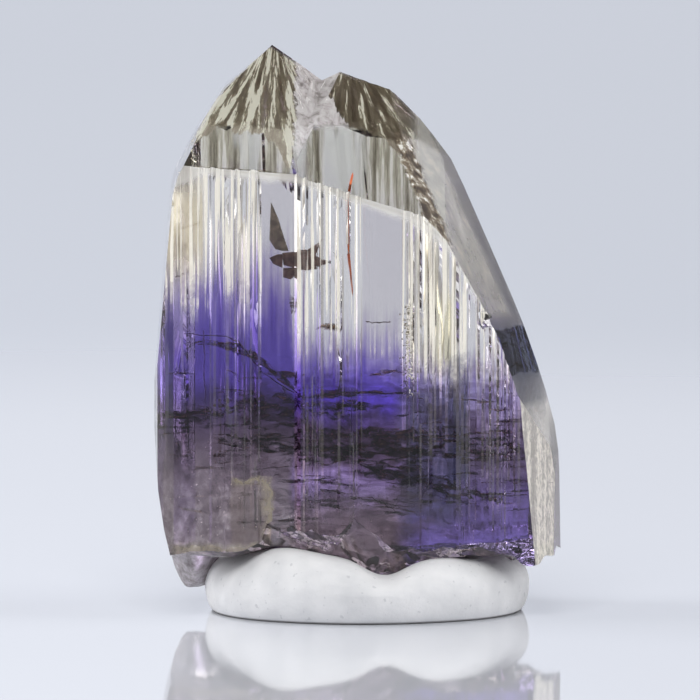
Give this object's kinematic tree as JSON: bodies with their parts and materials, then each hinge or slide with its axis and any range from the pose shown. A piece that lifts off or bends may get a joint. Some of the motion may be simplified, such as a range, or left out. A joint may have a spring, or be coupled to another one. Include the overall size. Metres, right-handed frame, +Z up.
{
  "type": "tanzanite crystal",
  "caption": "Rough tanzanite prism with pointed terminations grown side by side, clear at the top and violet below, pressed into a round pad of white putty.",
  "frame": {"origin": "middle of the pad's underside, which is the bottom centre of the bounding box", "axes": "+Z up along the crystal's long axis, +X to the right of its broad front face, +Y towards its back"},
  "size_m": [0.0203, 0.016, 0.0283],
  "materials": {
    "tanzanite": "glassy natural crystal faces, clear at the top, violet to smoky brown below",
    "white_putty": "matte white mineral putty with tiny pits"
  },
  "bodies": {
    "root": {"crystal": "tanzanite", "putty_pad": "white_putty"}
  },
  "joints": []
}
